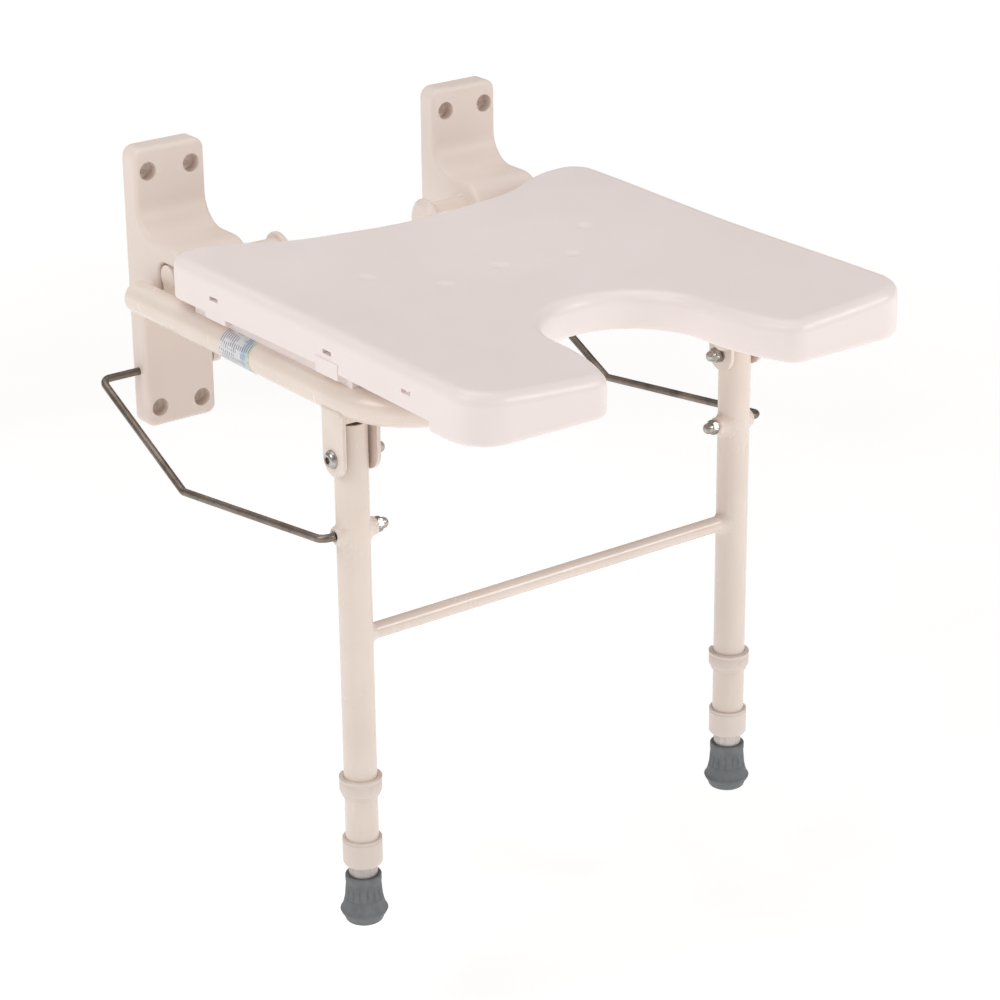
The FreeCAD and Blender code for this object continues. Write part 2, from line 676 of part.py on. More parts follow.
def dish_height(x, y):
    """Height of the seat's top: a trough that deepens from the rear edge to the cut-out."""
    across = 1 - (x / number(S.dish_half)) ** 2
    run = (number(S.dish_rear) - y) / (number(S.dish_rear) - number(S.dish_full))
    run = min(max(run, 0), 1)
    return number(S.seat_top) - number(S.dish_depth) * across * run ** 2 * (3 - 2 * run)


def above_dish(drop=0.0):
    """Solid over the seat's top surface, or over that surface lowered by a drop."""
    reach = number(S.seat_half) + OVERCUT
    rear, front = number(S.seat_lobe_y) + 2 * OVERCUT, number(S.seat_front) - 2 * OVERCUT
    grid = []
    for row in range(DISH_ROWS + 1):
        y = rear + (front - rear) * row / DISH_ROWS
        line = [reach * (2 * column / DISH_COLUMNS - 1) for column in range(DISH_COLUMNS + 1)]
        grid.append([FreeCAD.Vector(x, y, dish_height(x, y) - drop) for x in line])
    surface = Part.BSplineSurface()
    surface.interpolate(grid)
    return surface.toShape().extrude(FreeCAD.Vector(0, 0, 2 * number(S.seat_top)))


def seat_ribs(low):
    """Crossed stiffening ribs under the seat."""
    thick, half = number(S.rib_thickness), number(S.seat_half)
    front, top = number(S.seat_front), number(S.seat_top)
    ribs = []
    for x in RIBS_ALONG:
        ribs.append(Part.makeBox(thick, -front, top - low, FreeCAD.Vector(x - thick / 2, front, low)))
    for y in RIBS_ACROSS:
        ribs.append(Part.makeBox(2 * half, thick, top - low, FreeCAD.Vector(-half, y - thick / 2, low)))
    return ribs


def screw_places():
    """(x, y, height of the tube's top, height of its underside) of the four seat screws."""
    rail_z, tube, cross = number(S.rail_z), number(S.tube_radius), number(S.cross_radius)
    places = []
    for side in (-1, 1):
        places.append((side * number(S.rear_screw_x), number(S.cross_y), rail_z + cross, rail_z - cross))
        places.append((side * number(S.front_screw_x), number(S.rail_front), rail_z + tube, rail_z - tube))
    return places


def rail_rests():
    """Ledge that rests the seat on each rail and two lugs that show under the skirt."""
    inner, outer, face = number(S.ledge_inner), number(S.ledge_outer), number(S.saddle_face)
    low, top = number(S.rail_z), number(S.ledge_top)
    front, rear = number(S.ledge_front), number(S.ledge_rear)
    rests = []
    for side in (-1, 1):
        start = inner if side > 0 else -outer
        rests.append(Part.makeBox(outer - inner, rear - front, top - low,
                                  FreeCAD.Vector(start, front, low)))
        start = inner if side > 0 else -face
        for y in (number(S.saddle_rear), number(S.saddle_front)):
            width = number(S.saddle_width)
            saddle = number(S.saddle_low)
            rests.append(Part.makeBox(face - inner, width, top - saddle,
                                      FreeCAD.Vector(start, y - width / 2, saddle)))
    return rests


def rebates():
    """Space over each side rail, where the skirt stops short of the seat's lower edge."""
    low, high, front = number(S.seat_low), number(S.seat_skirt), number(S.rebate_front)
    inner, outer = number(S.ledge_inner) - number(S.rib_thickness), number(S.seat_half) + OVERCUT
    corner = {-1: -outer, 1: inner}
    return [Part.makeBox(outer - inner, -front, high - low + OVERCUT,
                         FreeCAD.Vector(corner[side], front, low - OVERCUT))
            for side in (-1, 1)]


def seat_blank(wire, low):
    """Solid seat with its dished top and rounded edges."""
    blank = prism(wire, low, number(S.seat_top) * 1.5).cut(above_dish())
    rim = number(S.seat_top) - number(S.dish_depth) - 1
    walls = [edge for edge in blank.Edges if edge.BoundBox.ZMin > rim]
    blank = blank.makeFillet(number(S.top_round), walls)
    foot = [edge for edge in blank.Edges if abs(edge.BoundBox.ZMax - low) < 1e-6]
    return blank.makeFillet(number(S.low_round), foot)


def seat_shell():
    """Moulded seat: dished top, walled edge, open underside with ribs, bosses and ledges."""
    low, top = number(S.seat_low), number(S.seat_top)
    skin = number(S.rib_skin)
    inner_wire = seat_wire(number(S.seat_wall))
    cavity = prism(inner_wire, low - 1, top * 1.5).cut(above_dish(number(S.seat_ceiling)))
    shell = seat_blank(seat_wire(), low).cut(cavity)
    rib_low = low + number(S.rib_rise)
    ribs = seat_ribs(rib_low)
    inside = ribs[0].fuse(ribs[1:]).common(prism(inner_wire, rib_low, top)).cut(above_dish(skin))
    bosses = [Part.makeCylinder(number(S.boss_radius), top - tube_top, FreeCAD.Vector(x, y, tube_top))
              for x, y, tube_top, _ in screw_places()]
    bosses = bosses[0].fuse(bosses[1:]).cut(above_dish(skin))
    shell = shell.fuse([inside, bosses])
    for rebate in rebates():
        shell = shell.cut(rebate)
    rests = rail_rests()
    shell = shell.fuse(rests)
    rail = swept(rail_path(), S.tube_radius)
    sleeve = Part.makeCylinder(number(S.tube_radius + S.label_thickness),
                               number(S.label_rear - S.label_front),
                               FreeCAD.Vector(number(S.rail_x), number(S.label_front), number(S.rail_z)),
                               Y_AXIS)
    for tool in (rail, sleeve):
        shell = shell.cut([tool, tool.mirror(FreeCAD.Vector(), X_AXIS)])
    return drill_seat(shell)


def mould_slots():
    """Narrow openings through the skirt above each lug and at the end of the rebate."""
    width, height, depth = number(S.slot_width), number(S.slot_height), number(S.slot_depth)
    half, low = number(S.seat_half), number(S.slot_z) - number(S.slot_height) / 2
    slots = []
    for y in (number(S.saddle_rear), number(S.saddle_front), number(S.slot_front)):
        for x in (-half - 1, half - depth):
            slots.append(Part.makeBox(depth + 1, width, height, FreeCAD.Vector(x, y - width / 2, low)))
    return slots


def drill_seat(shell):
    """Skirt slots, screw holes from below and the shallow dimples in the top."""
    for slot in mould_slots():
        shell = shell.cut(slot)
    for x, y, tube_top, _ in screw_places():
        shell = shell.cut(Part.makeCylinder(number(S.screw_radius), number(S.screw_length),
                                            FreeCAD.Vector(x, y, tube_top - 1)))
    ball = number(S.dimple_radius)
    for x, y in DIMPLES:
        centre = FreeCAD.Vector(x, y, dish_height(x, y) - number(S.dimple_depth) + ball)
        shell = shell.cut(Part.makeSphere(ball, centre))
    return from_shape("seat_shell", shell.removeSplitter())


def seat_screws():
    """Four pan-head screws from under the tubes into the seat's bosses."""
    shapes = []
    head, radius = number(S.screw_head_height), number(S.screw_radius)
    for x, y, tube_top, tube_low in screw_places():
        shaft = Part.makeCylinder(radius, tube_top - tube_low + number(S.screw_length) - 1,
                                  FreeCAD.Vector(x, y, tube_low))
        cap = Part.makeCylinder(number(S.screw_head_radius), head, FreeCAD.Vector(x, y, tube_low - head))
        shapes.append(shaft.fuse(cap))
    return from_shape("seat_screws", Part.makeCompound(shapes))


# ---------------------------------------------------------------- leg frame
def leg_tube():
    """Upright tube with cross holes for the pivot bolt, the link sleeve and the height peg."""
    length = S.leg_top - S.leg_bottom
    base = (S.leg_x, S.leg_y, S.leg_bottom)
    outer = rod("leg_outer", base, "+Z", S.tube_radius, length)
    cross = (S.leg_x - S.tube_radius * 2, S.leg_y)
    tools = [
        rod("leg_inner", base, "+Z", S.tube_radius - S.tube_wall, length),
        rod("leg_pivot_hole", (*cross, S.leg_pivot_z), "+X", S.bolt_radius + S.running_gap,
            S.tube_radius * 4),
        rod("leg_sleeve_hole", (*cross, S.sleeve_z), "+X", S.sleeve_radius, S.tube_radius * 4),
        rod("leg_peg_hole", (S.leg_x, S.leg_y, peg_height()), "-Y", S.peg_hole_radius, S.tube_radius * 2),
    ]
    return without("leg_tube", outer, tools)


def peg_height():
    return (S.clip_low + S.clip_high) / 2


def crossbar():
    """Round bar between the two legs, shaped to the tubes at its ends."""
    bar = rod("crossbar_blank", (-S.leg_x, S.leg_y, S.crossbar_z), "+X", S.crossbar_radius, S.leg_x * 2)
    tools = []
    for side in (-1, 1):
        low = S.crossbar_z - S.crossbar_radius * 2
        tools.append(rod(f"crossbar_end_{side + 1}", (S.leg_x * side, S.leg_y, low), "+Z",
                         S.tube_radius, S.crossbar_radius * 4))
    return without("crossbar", bar, tools)


def link_sleeve():
    """Short tube welded across the leg for the end of the fold link."""
    inner, outer = -S.sleeve_inner, S.sleeve_outer
    bore = S.bolt_radius + S.running_gap
    corners = [(bore, inner), (S.sleeve_radius, inner), (S.sleeve_radius, outer), (bore, outer)]
    body = turned("link_sleeve", corners, "+X", (S.leg_x, S.leg_y, S.sleeve_z))
    fillet(body, "sleeve_rims", S.sleeve_round, ring_round(S.sleeve_radius))
    return body


def link_stud():
    """Threaded end that the link's acorn nut screws on, held in the sleeve."""
    reach = S.sleeve_inner + S.nut_height + S.sleeve_outer - S.body_gap
    corners = [(0, 0), (S.bolt_radius, 0), (S.bolt_radius, reach), (0, reach)]
    base = S.leg_x - S.sleeve_inner - S.nut_height
    return turned("link_stud", corners, "+X", (base, S.leg_y, S.sleeve_z))


def leg_collar():
    """Plastic collar that closes the lower end of the leg and guides the foot tube."""
    guide = S.foot_radius + S.running_gap * 2
    shelf = S.leg_bottom - S.collar_low
    height = S.collar_high - S.collar_low
    corners = [(guide, 0), (S.collar_radius, 0), (S.collar_radius, height), (S.tube_radius, height),
               (S.tube_radius, shelf), (guide, shelf)]
    body = turned("leg_collar", corners, "+Z", (S.leg_x, S.leg_y, S.collar_low))
    fillet(body, "collar_foot_round", S.collar_foot_round, ring_at(S.collar_radius, 0))
    fillet(body, "collar_top_round", S.collar_top_round, ring_at(S.collar_radius, height))
    return body


def height_clip():
    """Open spring collar with a lower lip and a peg that passes through the leg's wall."""
    inner = S.tube_radius + S.running_gap
    height = S.clip_high - S.clip_low
    outline = [(inner, 0), (S.clip_lip_radius, 0), (S.clip_lip_radius, S.clip_lip),
               (S.clip_foot_radius, S.clip_foot), (S.clip_radius, S.clip_belly), (S.clip_radius, S.clip_rim),
               (inner, height)]
    body = turned("height_clip", outline, "+Z", (S.leg_x, S.leg_y, S.clip_low))
    block("clip_mouth_cut", (-S.clip_mouth / 2, 0, -1), S.clip_mouth, S.clip_radius * 2, height + 2,
          body, cut=True)
    reach = S.peg_face - S.foot_radius - S.body_gap
    rod("clip_peg", (0, -S.peg_face, height / 2), "+Y", S.peg_radius, reach, body)
    DOC.recompute()
    return body


# ---------------------------------------------------------------- feet
def foot_tube():
    """Inner leg tube with the row of height holes."""
    length = S.foot_top - S.foot_low
    base = (S.leg_x, S.leg_y, S.foot_low)
    outer = rod("foot_outer", base, "+Z", S.foot_radius, length)
    tools = [rod("foot_inner", base, "+Z", S.foot_radius - S.tube_wall, length)]
    for index in range(int(SIZES["hole_count"])):
        height = peg_height() + S.hole_pitch * index
        tools.append(rod(f"height_hole_{index}", (S.leg_x, S.leg_y, height), "-Y", S.peg_hole_radius,
                         S.foot_radius * 2))
    return without("foot_tube", outer, tools)


def ferrule():
    """Rubber foot: socket for the tube, fluted body, wide flange and rounded sole."""
    top = S.ferrule_top - S.floor_z
    step = S.ferrule_step_z - S.floor_z
    flange = S.ferrule_flange_z - S.floor_z
    socket = S.foot_low - S.floor_z
    rim = S.ferrule_flange - S.ferrule_edge
    corners = [(0, 0), (S.ferrule_sole, 0), (rim, flange - S.ferrule_edge_rise),
               (S.ferrule_flange, flange), (rim, flange + S.ferrule_edge_rise),
               (S.ferrule_body, step), (S.ferrule_rim, top),
               (S.foot_radius, top), (S.foot_radius, socket), (0, socket)]
    body = turned("ferrule", corners, "+Z", (S.leg_x, S.leg_y, S.floor_z))
    fillet(body, "ferrule_sole_round", S.ferrule_sole_round, ring_at(S.ferrule_sole, 0))
    groove = rod("flute", (S.ferrule_body + S.flute_offset, 0, step + 1), "+Z", S.flute_radius,
                 top - step - S.flute_margin, body, cut=True)
    DOC.recompute()
    pattern = body.newObject("PartDesign::PolarPattern", "flutes")
    pattern.Originals = [groove]
    axis = next(a for a in body.Origin.OriginFeatures if a.Role == "Z_Axis")
    pattern.Axis = (axis, [""])
    pattern.Angle = 360
    pattern.Occurrences = int(SIZES["flute_count"])
    body.Tip = pattern
    DOC.recompute()
    return body


# ---------------------------------------------------------------- fold links
def fold_link():
    """Wire link: pin through the bracket, cranked run beside the seat, pin at the leg."""
    x, inner = number(S.link_x), number(S.link_inner_x)
    rear = FreeCAD.Vector(x, number(S.link_pin_y), number(S.link_pin_z))
    corner = FreeCAD.Vector(x, number(S.link_corner_y), number(S.link_corner_z))
    front = FreeCAD.Vector(x, number(S.leg_y), number(S.sleeve_z))
    end_x = number(S.leg_x + S.sleeve_outer + S.body_gap)
    points = [FreeCAD.Vector(inner, rear.y, rear.z), rear, corner, front,
              FreeCAD.Vector(end_x, front.y, front.z)]
    end = number(S.link_end_bend)
    path = rounded_path(points, [end, number(S.link_corner_bend), end])
    return from_shape("fold_link", swept(path, S.wire_radius))


def link_cap():
    """Push-on cap that keeps the link's pin in the bracket."""
    face = S.plate_x - S.plate_width / 2 - S.link_cap_gap
    length = S.link_cap_length
    floor = face - S.link_inner_x
    corners = [(S.wire_radius, 0), (S.link_cap_radius, 0), (S.link_cap_radius, length - S.link_cap_dome),
               (S.link_cap_crown, length), (0, length), (0, floor), (S.wire_radius, floor)]
    return turned("link_cap", corners, "-X", (face, S.link_pin_y, S.link_pin_z))


# ---------------------------------------------------------------- assembly
def build():
    pair(wall_bracket(), "wall_bracket")
    pair(pivot_bush(), "pivot_bush")
    pair(seat_rail(), "seat_rail")
    pair(pivot_stub(), "pivot_stub")
    pair(pivot_cap(), "pivot_cap")
    pair(hinge_lug(), "hinge_lug")
    pair(end_plug("rear_plug", (S.rail_x, S.rail_rear, S.rail_z), "+Y"), "rear_tube_plug")
    pair(end_plug("front_plug", (S.rail_end_x, S.rail_front, S.rail_z), "-X"), "front_tube_plug")
    node(cross_tube(), "frame_cross_tube")
    pair(leg_clevis(), "leg_clevis")
    pair(pivot_bolt(), "leg_pivot_bolt")
    ear_face = S.leg_x - S.ear_inside - S.ear_thickness
    pair(washer("pivot_washer", (ear_face, S.leg_y, S.leg_pivot_z), "-X"), "leg_pivot_washer")
    pair(acorn_nut("pivot_nut", (ear_face - S.washer_thickness, S.leg_y, S.leg_pivot_z)), "leg_pivot_nut")
    node(label_sleeve(), "rail_label")
    node(seat_shell(), "seat_shell")
    node(seat_screws(), "seat_screws")
    pair(leg_tube(), "leg_tube")
    node(crossbar(), "leg_crossbar")
    pair(link_sleeve(), "link_sleeve")
    pair(link_stud(), "link_stud")
    pair(acorn_nut("link_nut", (S.leg_x - S.sleeve_inner, S.leg_y, S.sleeve_z)), "link_nut")
    pair(leg_collar(), "leg_collar")
    pair(height_clip(), "height_clip")
    pair(foot_tube(), "foot_tube")
    pair(ferrule(), "ferrule")
    pair(fold_link(), "fold_link")
    pair(link_cap(), "link_cap")


def check():
    """Stop on any failed object and on any node without one valid closed shape."""
    for item in DOC.Objects:
        if "Invalid" in item.State or "Error" in item.State:
            raise RuntimeError(f"{item.Label} failed: {item.State}")
    for item in NODES:
        if item.Shape.isNull() or not item.Shape.isValid() or not item.Shape.Solids:
            raise RuntimeError(f"{item.Label} has no valid solid")


def export():
    os.makedirs("parts", exist_ok=True)
    for item in NODES:
        item.Shape.exportStep(f"parts/{item.Label}.step")
        print(f"{item.Label:24s} {len(item.Shape.Solids)} solid(s) {item.Shape.Volume / 1000:9.2f} cm3")


build()
DOC.recompute()
check()
export()
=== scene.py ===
"""Looks of the wall-mounted fold-up shower seat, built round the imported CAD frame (metres)."""
import json
import math

import bpy
from mathutils import Matrix, Vector


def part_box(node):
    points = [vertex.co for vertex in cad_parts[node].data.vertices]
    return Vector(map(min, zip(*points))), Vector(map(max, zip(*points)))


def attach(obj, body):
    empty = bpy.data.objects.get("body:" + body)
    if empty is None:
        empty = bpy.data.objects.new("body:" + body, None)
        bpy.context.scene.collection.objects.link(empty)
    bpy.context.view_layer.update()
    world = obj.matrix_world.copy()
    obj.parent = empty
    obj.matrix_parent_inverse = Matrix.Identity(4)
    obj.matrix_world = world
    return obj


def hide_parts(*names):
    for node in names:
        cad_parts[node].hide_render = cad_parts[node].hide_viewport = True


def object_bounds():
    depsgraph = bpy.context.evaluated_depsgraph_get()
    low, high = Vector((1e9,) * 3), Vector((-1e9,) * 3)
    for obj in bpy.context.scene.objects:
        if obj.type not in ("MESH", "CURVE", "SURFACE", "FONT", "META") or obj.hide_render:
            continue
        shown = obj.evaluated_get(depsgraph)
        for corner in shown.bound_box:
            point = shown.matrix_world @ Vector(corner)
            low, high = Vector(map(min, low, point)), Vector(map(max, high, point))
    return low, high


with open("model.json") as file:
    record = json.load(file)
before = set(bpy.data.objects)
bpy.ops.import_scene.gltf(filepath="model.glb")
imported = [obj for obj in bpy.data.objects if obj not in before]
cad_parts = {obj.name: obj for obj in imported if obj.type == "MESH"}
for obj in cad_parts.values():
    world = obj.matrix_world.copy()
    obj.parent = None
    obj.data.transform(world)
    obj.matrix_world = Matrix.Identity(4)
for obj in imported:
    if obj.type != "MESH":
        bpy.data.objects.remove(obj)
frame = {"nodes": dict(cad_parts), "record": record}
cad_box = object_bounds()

MM = 0.001
X, Y, Z = Vector((1, 0, 0)), Vector((0, 1, 0)), Vector((0, 0, 1))
SIDES = (("left", -1), ("right", 1))
RECORD = frame["record"]
SLOT_OF = {part["node"]: part["material_slot"] for part in RECORD["subparts"]}


# ---------------------------------------------------------------- materials
def srgb(red, green, blue):
    """Linear colour with alpha from 0-255 screen values."""
    def linear(value):
        value /= 255
        return value / 12.92 if value <= 0.04045 else ((value + 0.055) / 1.055) ** 2.4
    return (linear(red), linear(green), linear(blue), 1.0)


class Surface:
    """A Principled material with small helpers for its texture nodes."""

    def __init__(self, name, roughness, metallic=0.0, specular=0.5):
        self.material = bpy.data.materials.new(name)
        self.material.use_nodes = True
        self.tree = self.material.node_tree
        self.shader = self.tree.nodes["Principled BSDF"]
        self.shader.inputs["Roughness"].default_value = roughness
        self.shader.inputs["Metallic"].default_value = metallic
        self.shader.inputs["Specular IOR Level"].default_value = specular
        self.place = self.tree.nodes.new("ShaderNodeTexCoord").outputs["Object"]
        self.bump = None

    def link(self, source, target):
        self.tree.links.new(source, target)

    def noise(self, scale, detail=2.0, roughness=0.5, stretch=(1, 1, 1)):
        """Noise with scale features per metre; stretch scales each axis."""
        mapping = self.tree.nodes.new("ShaderNodeMapping")
        mapping.inputs["Scale"].default_value = stretch
        self.link(self.place, mapping.inputs["Vector"])
        node = self.tree.nodes.new("ShaderNodeTexNoise")
        node.inputs["Scale"].default_value = scale
        node.inputs["Detail"].default_value = detail
        node.inputs["Roughness"].default_value = roughness
        self.link(mapping.outputs["Vector"], node.inputs["Vector"])
        return node.outputs["Fac"]

    def distance(self):
        """Distance from the origin in metres."""
        node = self.tree.nodes.new("ShaderNodeVectorMath")
        node.operation = "LENGTH"
        self.link(self.place, node.inputs[0])
        return node.outputs["Value"]

    def ramp(self, value, low, high, start=0.0, end=1.0):
        """Map a value from low..high to start..end, clamped."""
        node = self.tree.nodes.new("ShaderNodeMapRange")
        limits = {"From Min": low, "From Max": high, "To Min": start, "To Max": end}
        for name, number in limits.items():
            node.inputs[name].default_value = number
        self.link(value, node.inputs["Value"])
        return node.outputs["Result"]

    def mix(self, factor, first, second):
        """Blend two colours, each a constant or an output."""
        node = self.tree.nodes.new("ShaderNodeMix")
        node.data_type = "RGBA"
        self.link(factor, node.inputs[0])
        for socket, colour in ((node.inputs[6], first), (node.inputs[7], second)):
            if isinstance(colour, tuple):
                socket.default_value = colour
            else:
                self.link(colour, socket)
        return node.outputs[2]

    def math(self, operation, first, second=0.0):
        """Arithmetic on numbers or outputs."""
        node = self.tree.nodes.new("ShaderNodeMath")
        node.operation = operation
        for socket, value in zip(node.inputs, (first, second)):
            if isinstance(value, (int, float)):
                socket.default_value = value
            else:
                self.link(value, socket)
        return node.outputs[0]

    def colour(self, source):
        self.link(source, self.shader.inputs["Base Color"])

    def roughness(self, source):
        self.link(source, self.shader.inputs["Roughness"])

    def raise_by(self, height, distance, strength):
        """Add a bump layer of that depth in metres on top of the earlier ones."""
        node = self.tree.nodes.new("ShaderNodeBump")
        node.inputs["Distance"].default_value = distance
        node.inputs["Strength"].default_value = strength
        self.link(height, node.inputs["Height"])
        if self.bump is not None:
            self.link(self.bump, node.inputs["Normal"])
        self.bump = node.outputs["Normal"]
        self.link(self.bump, self.shader.inputs["Normal"])


def moulded(name, light, dark, roughness, grain, grain_depth):
    """Moulded plastic: faint mottling, uneven gloss, a fine grain and slight waviness."""
    surface = Surface(name, roughness)
    clouds = surface.noise(9, 2)
    gloss = surface.noise(60, 4)
    surface.colour(surface.mix(surface.ramp(clouds, 0.3, 0.7), dark, light))
    surface.roughness(surface.ramp(gloss, 0.3, 0.7, roughness - 0.05, roughness + 0.06))
    surface.raise_by(surface.noise(18, 1), 0.0006, 0.35)
    surface.raise_by(surface.noise(grain, 2), grain_depth, 0.5)
    return surface.material


def powder_coat(name, light, dark):
    """Semi-gloss powder coat with orange peel and a few faint scuffs."""
    surface = Surface(name, 0.33, specular=0.65)
    clouds = surface.noise(22, 3)
    scuffs = surface.ramp(surface.noise(90, 6, 0.7, stretch=(1, 1, 0.35)), 0.62, 0.72)
    base = surface.mix(surface.ramp(clouds, 0.3, 0.7), dark, light)
    worn = tuple(channel * 0.9 for channel in dark[:3]) + (1.0,)
    surface.colour(surface.mix(surface.math("MULTIPLY", scuffs, 0.35), base, worn))
    surface.roughness(surface.ramp(scuffs, 0.0, 1.0, 0.26, 0.4))
    surface.raise_by(surface.noise(420, 2), 0.00012, 0.5)
    return surface.material


def bright_metal(name, light, dark, roughness):
    """Plated steel with fine scratches and small dull patches."""
    surface = Surface(name, roughness, metallic=1.0)
    patches = surface.noise(260, 4, 0.6)
    scratches = surface.noise(900, 2, 0.5, stretch=(1, 1, 8))
    surface.colour(surface.mix(surface.ramp(patches, 0.4, 0.68), light, dark))
    surface.roughness(surface.ramp(patches, 0.3, 0.7, roughness - 0.06, roughness + 0.16))
    surface.raise_by(scratches, 0.00004, 0.4)
    return surface.material


def drawn_metal(name, light, dark, roughness, stretch):
    """Drawn tube or wire: long streaks along the draw direction."""
    surface = Surface(name, roughness, metallic=1.0)
    streaks = surface.noise(700, 3, 0.6, stretch=stretch)
    patches = surface.noise(50, 3)
    base = surface.mix(surface.ramp(patches, 0.35, 0.65), dark, light)
    surface.colour(surface.mix(surface.ramp(streaks, 0.45, 0.75, 0.0, 0.5), base, dark))
    surface.roughness(surface.ramp(streaks, 0.3, 0.7, roughness - 0.05, roughness + 0.12))
    surface.raise_by(streaks, 0.00005, 0.5)
    return surface.material


def rubber(name, light, dark):
    """Matt moulded rubber with dust in its texture."""
    surface = Surface(name, 0.72, specular=0.35)
    patches = surface.noise(120, 5, 0.65)
    dust = surface.ramp(surface.noise(1500, 3), 0.55, 0.8)
    base = surface.mix(surface.ramp(patches, 0.35, 0.65), dark, light)
    dusty = tuple(min(1.0, channel * 1.5) for channel in light[:3]) + (1.0,)
    surface.colour(surface.mix(surface.math("MULTIPLY", dust, 0.3), base, dusty))
    surface.roughness(surface.ramp(patches, 0.3, 0.7, 0.62, 0.82))
    surface.raise_by(surface.noise(1100, 3), 0.00008, 0.6)
    return surface.material


LABEL_ROW = 2.7 * MM


def label_print(name):
    """Pale film with rows of broken bars round the tube, and a tinted band: no lettering."""
    surface = Surface(name, 0.36)
    split = surface.tree.nodes.new("ShaderNodeSeparateXYZ")
    surface.link(surface.place, split.inputs["Vector"])
    along = split.outputs["Y"]
    wave = surface.math("SINE", surface.math("MULTIPLY", along, 2 * math.pi / LABEL_ROW))
    rows = surface.ramp(wave, 0.25, 0.6)
    breaks = surface.ramp(surface.noise(330, 0, 0.0, stretch=(1, 0.25, 1)), 0.47, 0.5)
    bars = surface.math("MULTIPLY", rows, breaks)
    clouds = surface.ramp(surface.noise(150, 3), 0.3, 0.7)
    paper = surface.mix(clouds, srgb(206, 208, 212), srgb(222, 221, 222))
    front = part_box("rail_label")[0].y
    band = surface.ramp(along, front + 12 * MM, front + 10 * MM)
    edge = surface.ramp(along, front + 5 * MM, front + 4 * MM)
    tinted = surface.mix(band, paper, srgb(182, 196, 214))
    edged = surface.mix(edge, tinted, srgb(196, 208, 196))
    surface.colour(surface.mix(surface.math("MULTIPLY", bars, 0.8), edged, srgb(104, 102, 112)))
    surface.raise_by(surface.noise(500, 2), 0.00005, 0.4)
    return surface.material


CREAM = srgb(233, 219, 208)
CREAM_DARK = srgb(228, 212, 200)
# Each slot's kind of surface, its light and dark colours, and that kind's own numbers
RECIPES = {
    "seat_plastic": (moulded, srgb(240, 229, 226), srgb(238, 225, 221), 0.36, 900, 0.00005),
    "bracket_plastic": (moulded, srgb(232, 218, 209), srgb(228, 213, 203), 0.45, 1100, 0.00007),
    "trim_plastic": (moulded, srgb(228, 215, 206), srgb(222, 208, 198), 0.42, 1300, 0.00006),
    "nylon": (moulded, srgb(236, 232, 222), srgb(228, 222, 210), 0.4, 1200, 0.00005),
    "frame_paint": (powder_coat, CREAM, CREAM_DARK),
    "bright_steel": (bright_metal, (0.52, 0.50, 0.47, 1), (0.26, 0.24, 0.21, 1), 0.26),
    "foot_metal": (drawn_metal, (0.62, 0.58, 0.56, 1), (0.42, 0.38, 0.36, 1), 0.42, (1, 1, 0.04)),
    "grey_rubber": (rubber, srgb(122, 125, 128), srgb(108, 111, 114)),
    "link_wire": (drawn_metal, (0.30, 0.25, 0.21, 1), (0.16, 0.13, 0.11, 1), 0.38, (0.5, 0.05, 0.1)),
    "label_film": (label_print,),
}
MATERIALS = {slot: kind(slot, *values) for slot, (kind, *values) in RECIPES.items()}


def dress_cad_nodes():
    """Give every CAD node the material of its slot."""
    for name, piece in frame["nodes"].items():
        for holder in piece.material_slots:
            holder.material = MATERIALS[SLOT_OF[name]]


# ---------------------------------------------------------------- pieces with more detail than the CAD
# Radii and heights in mm
TUBE_RADIUS = 12.7
CROSSBAR_RADIUS = 6.35
SLEEVE_RADIUS = 7.2
CROSS_TUBE_RADIUS = 9.5
CROSSBAR_WELD = 4.2
SLEEVE_OUTER_WELD = 2.9
SLEEVE_INNER_WELD = 4.6
CROSS_TUBE_WELD = 2.8
BOLT_HEAD = 4.4
NUT_APOTHEM = 5.25

# The spring clip's opening, towards the wall
CLIP_GAP = math.radians(47)


def centre(node):
    """Middle of a node's box."""
    low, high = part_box(node)
    return (low + high) / 2


def add_piece(name, rings, body, slot, ends=True, crease=38):
    """A mesh skinned over closed rings of points, smooth except over sharp angles."""
    count = len(rings[0])
    points = [point for ring in rings for point in ring]
    faces = []
    for row in range(len(rings) - 1):
        for step in range(count):
            following = (step + 1) % count
            faces.append((row * count + step, row * count + following,
                          (row + 1) * count + following, (row + 1) * count + step))
    if ends:
        last = (len(rings) - 1) * count
        faces.append(tuple(reversed(range(count))))
        faces.append(tuple(range(last, last + count)))
    data = bpy.data.meshes.new(name)
    data.from_pydata(points, [], faces)
    data.validate()
    data.shade_smooth()
    data.set_sharp_from_angle(angle=math.radians(crease))
    data.materials.append(MATERIALS[slot])
    piece = bpy.data.objects.new(name, data)
    bpy.context.scene.collection.objects.link(piece)
    make_normals_outward(data)
    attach(piece, body)
    return piece


def make_normals_outward(data):
    """Flip a closed mesh whose signed volume is negative."""
    volume = 0.0
    data.calc_loop_triangles()
    for triangle in data.loop_triangles:
        first, second, third = (data.vertices[i].co for i in triangle.vertices)
        volume += first.dot(second.cross(third))
    if volume < 0:
        data.flip_normals()


def hexagon(apothem):
    """Radius of a hexagon as a function of the angle."""
    def radius(turn):
        wedge = math.pi / 3
        return apothem / math.cos((turn + wedge / 2) % wedge - wedge / 2)
    return radius


def chamfered(apothem, limit):
    """Hexagon whose corners are cut back to a limiting radius."""
    outline = hexagon(apothem)
    return lambda turn: min(outline(turn), limit)


